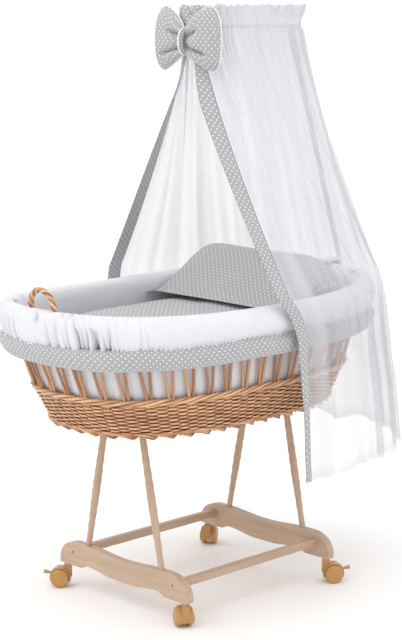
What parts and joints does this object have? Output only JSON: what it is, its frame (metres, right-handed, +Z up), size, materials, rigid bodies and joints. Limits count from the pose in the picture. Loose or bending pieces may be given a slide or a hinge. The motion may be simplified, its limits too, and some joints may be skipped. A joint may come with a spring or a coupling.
{
  "type": "baby cradle",
  "caption": "Oval wicker cradle with bedding on a wooden stand with swivel castors, and a sheer canopy that hangs from a hoop over the head end.",
  "frame": {"origin": "floor level, at the middle of the wheeled stand", "axes": "+Z up, +X to the head end under the canopy, +Y to the left side seen from the foot end"},
  "size_m": [1.0079, 0.6138, 1.278],
  "materials": {
    "beech": "lacquered beech, satin",
    "plywood": "plain plywood",
    "steel": "zinc-plated",
    "castor_plastic": "moulded, satin",
    "wicker": "peeled willow, lacquered",
    "mattress_cover": "quilted cotton",
    "white_cotton": "plain cotton, matte",
    "dotted_cotton": "printed cotton, matte",
    "button_plastic": "gloss",
    "veil_voile": "sheer voile",
    "white_metal": "white powder coat",
    "white_plastic": "moulded",
    "pad_rubber": "soft"
  },
  "bodies": {
    "cradle": {"foot_rail": "beech", "head_rail": "beech", "left_stretcher": "beech", "right_stretcher": "beech", "rail_screws": "steel", "leg_foot_left": "beech", "leg_foot_right": "beech", "leg_head_left": "beech", "leg_head_right": "beech", "foot_bearer": "beech", "head_bearer": "beech", "bearer_screws": "steel", "castor_sockets": "steel", "base_board": "plywood", "foot_border": "wicker", "weave_wall": "wicker", "waling": "wicker", "stakes": "wicker", "rim_border": "wicker", "handle": "wicker", "mattress": "mattress_cover", "liner": "white_cotton", "rim_cover": "white_cotton", "dotted_band": "dotted_cotton", "quilt": "dotted_cotton", "pillow": "dotted_cotton", "snap_button": "button_plastic", "clamp_bracket": "white_metal", "pole_lower": "white_metal", "pole_upper": "white_metal", "hoop": "white_metal", "veil": "veil_voile", "left_veil_band": "dotted_cotton", "right_veil_band": "dotted_cotton", "bow": "dotted_cotton"},
    "foot_left_castor": {"castor_fl_stem": "steel", "castor_fl_hood": "castor_plastic", "castor_fl_axle": "steel"},
    "foot_left_wheel_a": {"castor_fl_wheel_a": "castor_plastic"},
    "foot_left_wheel_b": {"castor_fl_wheel_b": "castor_plastic"},
    "foot_left_brake": {"castor_fl_brake": "castor_plastic"},
    "foot_right_castor": {"castor_fr_stem": "steel", "castor_fr_hood": "castor_plastic", "castor_fr_axle": "steel"},
    "foot_right_wheel_a": {"castor_fr_wheel_a": "castor_plastic"},
    "foot_right_wheel_b": {"castor_fr_wheel_b": "castor_plastic"},
    "head_left_castor": {"castor_hl_stem": "steel", "castor_hl_hood": "castor_plastic", "castor_hl_axle": "steel"},
    "head_left_wheel_a": {"castor_hl_wheel_a": "castor_plastic"},
    "head_left_wheel_b": {"castor_hl_wheel_b": "castor_plastic"},
    "head_right_castor": {"castor_hr_stem": "steel", "castor_hr_hood": "castor_plastic", "castor_hr_axle": "steel"},
    "head_right_wheel_a": {"castor_hr_wheel_a": "castor_plastic"},
    "head_right_wheel_b": {"castor_hr_wheel_b": "castor_plastic"},
    "head_right_brake": {"castor_hr_brake": "castor_plastic"},
    "clamp_pad": {"clamp_pad": "pad_rubber"},
    "clamp_screw": {"clamp_screw": "white_plastic"}
  },
  "joints": [
    {"name": "foot_left_swivel", "type": "hinge", "parent": "cradle", "child": "foot_left_castor", "pos_m": [-0.218, 0.19, 0.056], "axis": [0, 0, 1], "continuous": true},
    {"name": "foot_left_wheel_a_spin", "type": "hinge", "parent": "foot_left_castor", "child": "foot_left_wheel_a", "pos_m": [-0.23059, 0.20216, 0.021], "axis": [-0.6947, -0.7193, 0], "continuous": true},
    {"name": "foot_left_wheel_b_spin", "type": "hinge", "parent": "foot_left_castor", "child": "foot_left_wheel_b", "pos_m": [-0.23059, 0.20216, 0.021], "axis": [-0.6947, -0.7193, 0], "continuous": true},
    {"name": "foot_left_brake_lever", "type": "hinge", "parent": "foot_left_castor", "child": "foot_left_brake", "pos_m": [-0.2421, 0.21327, 0.03], "axis": [-0.6947, -0.7193, 0], "range_deg": [0, 24]},
    {"name": "foot_right_swivel", "type": "hinge", "parent": "cradle", "child": "foot_right_castor", "pos_m": [-0.218, -0.19, 0.056], "axis": [0, 0, 1], "continuous": true},
    {"name": "foot_right_wheel_a_spin", "type": "hinge", "parent": "foot_right_castor", "child": "foot_right_wheel_a", "pos_m": [-0.20925, -0.17485, 0.021], "axis": [-0.866, 0.5, 0], "continuous": true},
    {"name": "foot_right_wheel_b_spin", "type": "hinge", "parent": "foot_right_castor", "child": "foot_right_wheel_b", "pos_m": [-0.20925, -0.17485, 0.021], "axis": [-0.866, 0.5, 0], "continuous": true},
    {"name": "head_left_swivel", "type": "hinge", "parent": "cradle", "child": "head_left_castor", "pos_m": [0.218, 0.19, 0.056], "axis": [0, 0, 1], "continuous": true},
    {"name": "head_left_wheel_a_spin", "type": "hinge", "parent": "head_left_castor", "child": "head_left_wheel_a", "pos_m": [0.23234, 0.20004, 0.021], "axis": [-0.5736, 0.8192, 0], "continuous": true},
    {"name": "head_left_wheel_b_spin", "type": "hinge", "parent": "head_left_castor", "child": "head_left_wheel_b", "pos_m": [0.23234, 0.20004, 0.021], "axis": [-0.5736, 0.8192, 0], "continuous": true},
    {"name": "head_right_swivel", "type": "hinge", "parent": "cradle", "child": "head_right_castor", "pos_m": [0.218, -0.19, 0.056], "axis": [0, 0, 1], "continuous": true},
    {"name": "head_right_wheel_a_spin", "type": "hinge", "parent": "head_right_castor", "child": "head_right_wheel_a", "pos_m": [0.23059, -0.20216, 0.021], "axis": [0.6947, 0.7193, 0], "continuous": true},
    {"name": "head_right_wheel_b_spin", "type": "hinge", "parent": "head_right_castor", "child": "head_right_wheel_b", "pos_m": [0.23059, -0.20216, 0.021], "axis": [0.6947, 0.7193, 0], "continuous": true},
    {"name": "head_right_brake_lever", "type": "hinge", "parent": "head_right_castor", "child": "head_right_brake", "pos_m": [0.2421, -0.21327, 0.03], "axis": [0.6947, 0.7193, 0], "range_deg": [0, 24]},
    {"name": "clamp_pad_slide", "type": "slide", "parent": "cradle", "child": "clamp_pad", "axis": [-1, 0, 0], "range_m": [0, 0.006]},
    {"name": "clamp_screw_turn", "type": "hinge", "parent": "clamp_pad", "child": "clamp_screw", "pos_m": [0.3955, 0, 0.652], "axis": [-1, 0, 0], "range_deg": [0, 1440]}
  ],
  "couplings": [
    {"joint": "clamp_screw_turn", "follows": "clamp_pad_slide", "rad_per_m": 4188.8}
  ]
}
